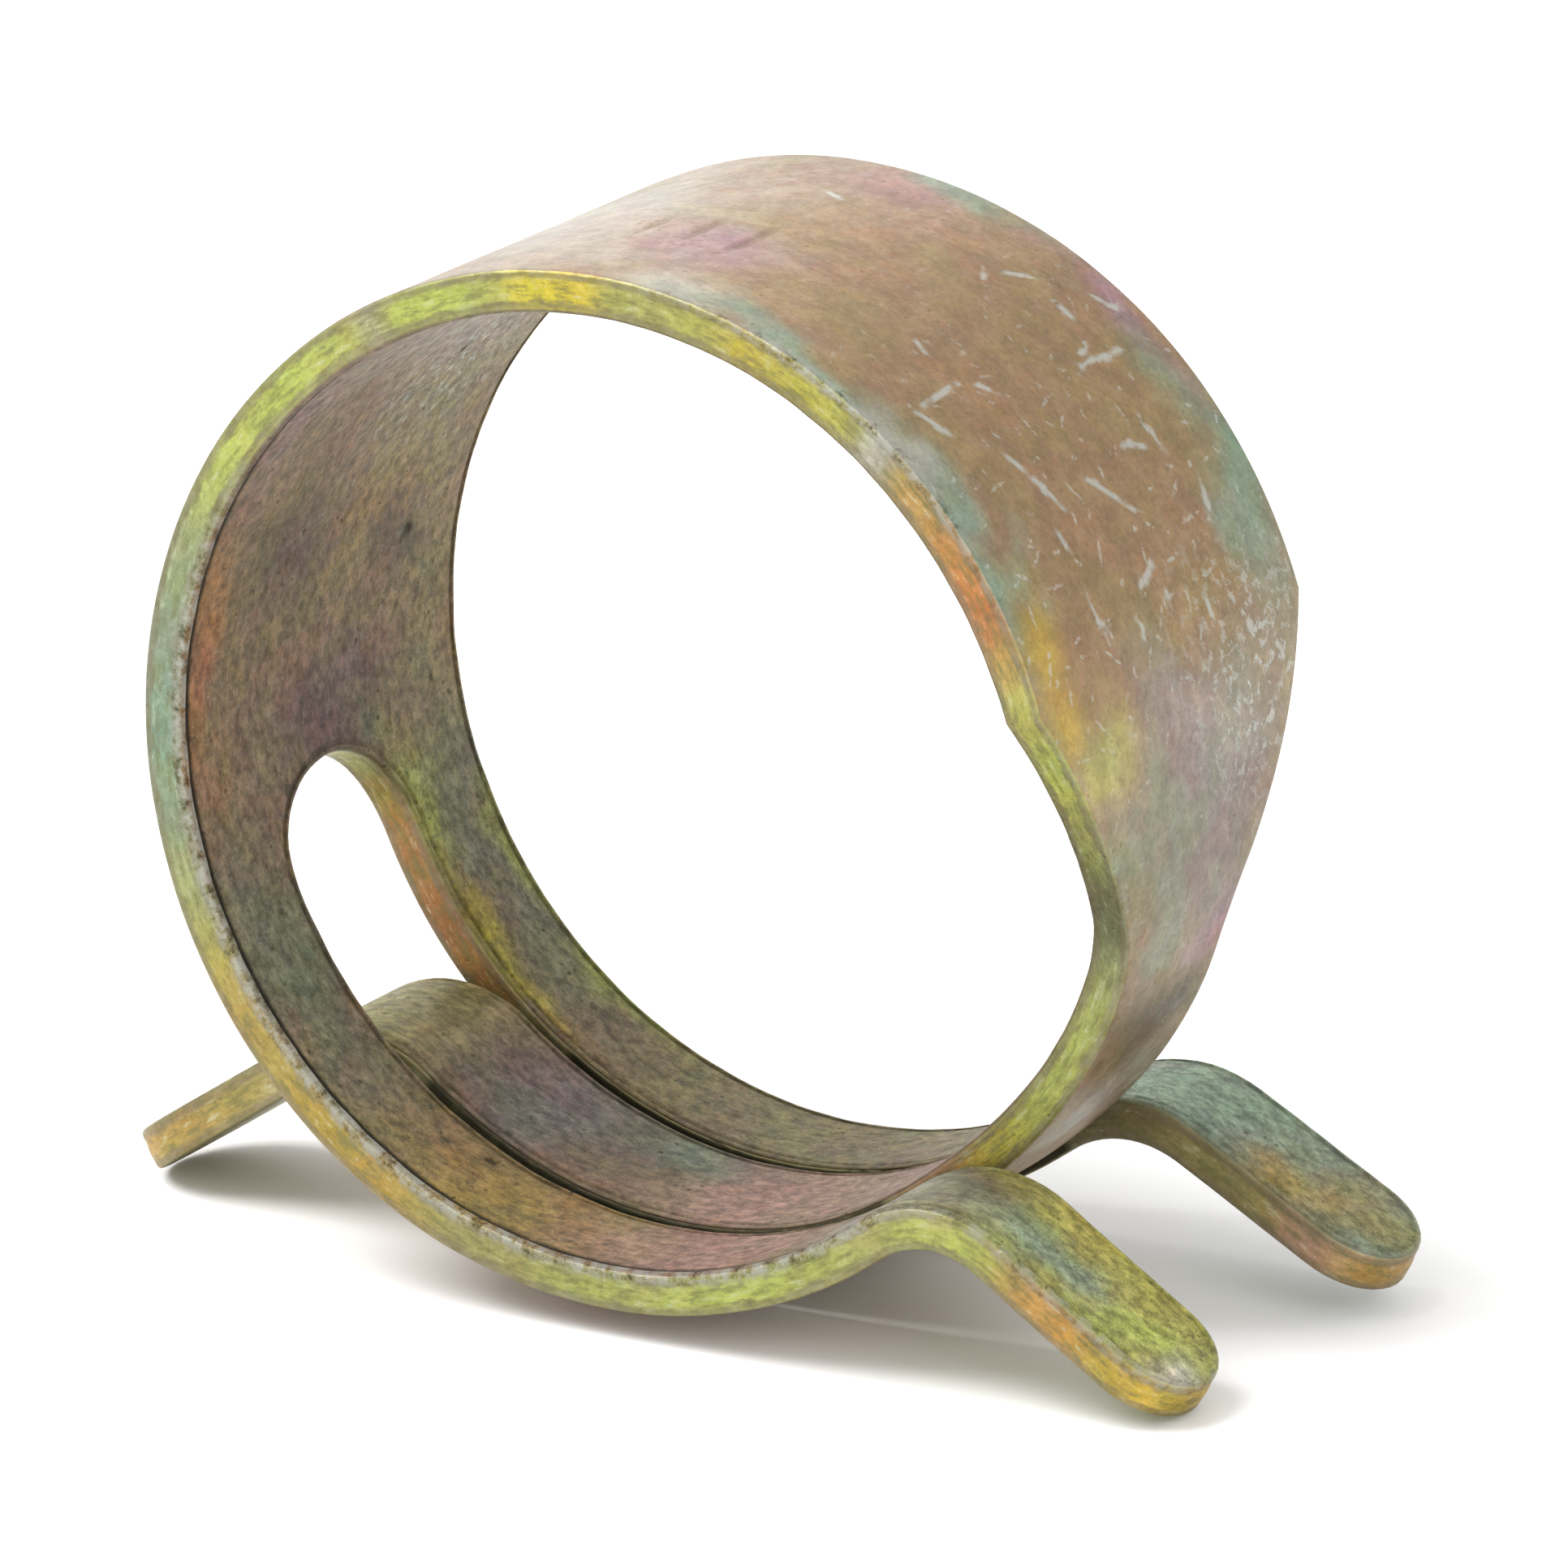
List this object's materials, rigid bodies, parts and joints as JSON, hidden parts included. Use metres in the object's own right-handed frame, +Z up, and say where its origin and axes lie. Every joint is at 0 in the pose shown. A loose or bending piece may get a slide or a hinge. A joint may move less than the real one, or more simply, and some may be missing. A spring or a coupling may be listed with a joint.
{
  "type": "spring band hose clamp",
  "caption": "Self-tightening spring band hose clamp, bent from one strip; squeezing its outward ears together opens the ring.",
  "frame": {"origin": "centre of the ring's bore, half way across the strip's width", "axes": "+Y along the bore from the front rim to the rear rim, +Z up through the crown, +X towards the two fork ears"},
  "size_m": [0.0326, 0.012, 0.0257],
  "materials": {
    "plated_strip": "satin, yellow-chromated zinc plate on spring steel"
  },
  "bodies": {
    "crown": {"crown_band": "plated_strip"},
    "left_upper": {"left_upper_band": "plated_strip"},
    "left_side": {"left_side_band": "plated_strip"},
    "slot_root": {"slot_root": "plated_strip"},
    "fork_upper": {"front_leg_upper": "plated_strip", "rear_leg_upper": "plated_strip"},
    "fork_middle": {"front_leg_middle": "plated_strip", "rear_leg_middle": "plated_strip"},
    "fork_lower": {"front_leg_lower": "plated_strip", "rear_leg_lower": "plated_strip", "front_ear": "plated_strip", "rear_ear": "plated_strip"},
    "right_upper": {"right_upper_band": "plated_strip"},
    "right_side": {"right_side_band": "plated_strip"},
    "taper": {"taper": "plated_strip"},
    "tongue_upper": {"tongue_upper": "plated_strip"},
    "tongue_middle": {"tongue_middle": "plated_strip"},
    "tongue_lower": {"tongue_lower": "plated_strip", "tongue_ear": "plated_strip"}
  },
  "joints": [
    {"name": "crown_left_flex", "type": "hinge", "parent": "crown", "child": "left_upper", "pos_m": [-0.00367, 0, 0.012], "axis": [0, 1, 0], "range_deg": [0, 6.4], "stiffness_Nm_per_rad": 0.02},
    {"name": "left_upper_flex", "type": "hinge", "parent": "left_upper", "child": "left_side", "pos_m": [-0.00975, 0, 0.0079], "axis": [0, 1, 0], "range_deg": [0, 6.4], "stiffness_Nm_per_rad": 0.02},
    {"name": "left_side_flex", "type": "hinge", "parent": "left_side", "child": "slot_root", "pos_m": [-0.0125, 0, 0.00109], "axis": [0, 1, 0], "range_deg": [0, 6.4], "stiffness_Nm_per_rad": 0.02},
    {"name": "slot_root_flex", "type": "hinge", "parent": "slot_root", "child": "fork_upper", "pos_m": [-0.01098, 0, -0.00608], "axis": [0, 1, 0], "range_deg": [0, 6.4], "stiffness_Nm_per_rad": 0.02},
    {"name": "fork_upper_flex", "type": "hinge", "parent": "fork_upper", "child": "fork_middle", "pos_m": [-0.0057, 0, -0.01118], "axis": [0, 1, 0], "range_deg": [0, 6.4], "stiffness_Nm_per_rad": 0.02},
    {"name": "fork_middle_flex", "type": "hinge", "parent": "fork_middle", "child": "fork_lower", "pos_m": [0.00153, 0, -0.01246], "axis": [0, 1, 0], "range_deg": [0, 6.4], "stiffness_Nm_per_rad": 0.02},
    {"name": "crown_right_flex", "type": "hinge", "parent": "crown", "child": "right_upper", "pos_m": [0.00367, 0, 0.012], "axis": [0, -1, 0], "range_deg": [0, 6.4], "stiffness_Nm_per_rad": 0.02},
    {"name": "right_upper_flex", "type": "hinge", "parent": "right_upper", "child": "right_side", "pos_m": [0.00975, 0, 0.0079], "axis": [0, -1, 0], "range_deg": [0, 6.4], "stiffness_Nm_per_rad": 0.02},
    {"name": "right_side_flex", "type": "hinge", "parent": "right_side", "child": "taper", "pos_m": [0.0125, 0, 0.00109], "axis": [0, -1, 0], "range_deg": [0, 6.4], "stiffness_Nm_per_rad": 0.02},
    {"name": "taper_flex", "type": "hinge", "parent": "taper", "child": "tongue_upper", "pos_m": [0.01098, 0, -0.00608], "axis": [0, -1, 0], "range_deg": [0, 6.4], "stiffness_Nm_per_rad": 0.02},
    {"name": "tongue_upper_flex", "type": "hinge", "parent": "tongue_upper", "child": "tongue_middle", "pos_m": [0.0057, 0, -0.01118], "axis": [0, -1, 0], "range_deg": [0, 6.4], "stiffness_Nm_per_rad": 0.02},
    {"name": "tongue_middle_flex", "type": "hinge", "parent": "tongue_middle", "child": "tongue_lower", "pos_m": [-0.00153, 0, -0.01246], "axis": [0, -1, 0], "range_deg": [0, 6.4], "stiffness_Nm_per_rad": 0.02}
  ],
  "couplings": [
    {"joint": "left_upper_flex", "follows": "crown_left_flex", "ratio": 1},
    {"joint": "left_side_flex", "follows": "crown_left_flex", "ratio": 1},
    {"joint": "slot_root_flex", "follows": "crown_left_flex", "ratio": 1},
    {"joint": "fork_upper_flex", "follows": "crown_left_flex", "ratio": 1},
    {"joint": "fork_middle_flex", "follows": "crown_left_flex", "ratio": 1},
    {"joint": "crown_right_flex", "follows": "crown_left_flex", "ratio": 1},
    {"joint": "right_upper_flex", "follows": "crown_left_flex", "ratio": 1},
    {"joint": "right_side_flex", "follows": "crown_left_flex", "ratio": 1},
    {"joint": "taper_flex", "follows": "crown_left_flex", "ratio": 1},
    {"joint": "tongue_upper_flex", "follows": "crown_left_flex", "ratio": 1},
    {"joint": "tongue_middle_flex", "follows": "crown_left_flex", "ratio": 1}
  ]
}
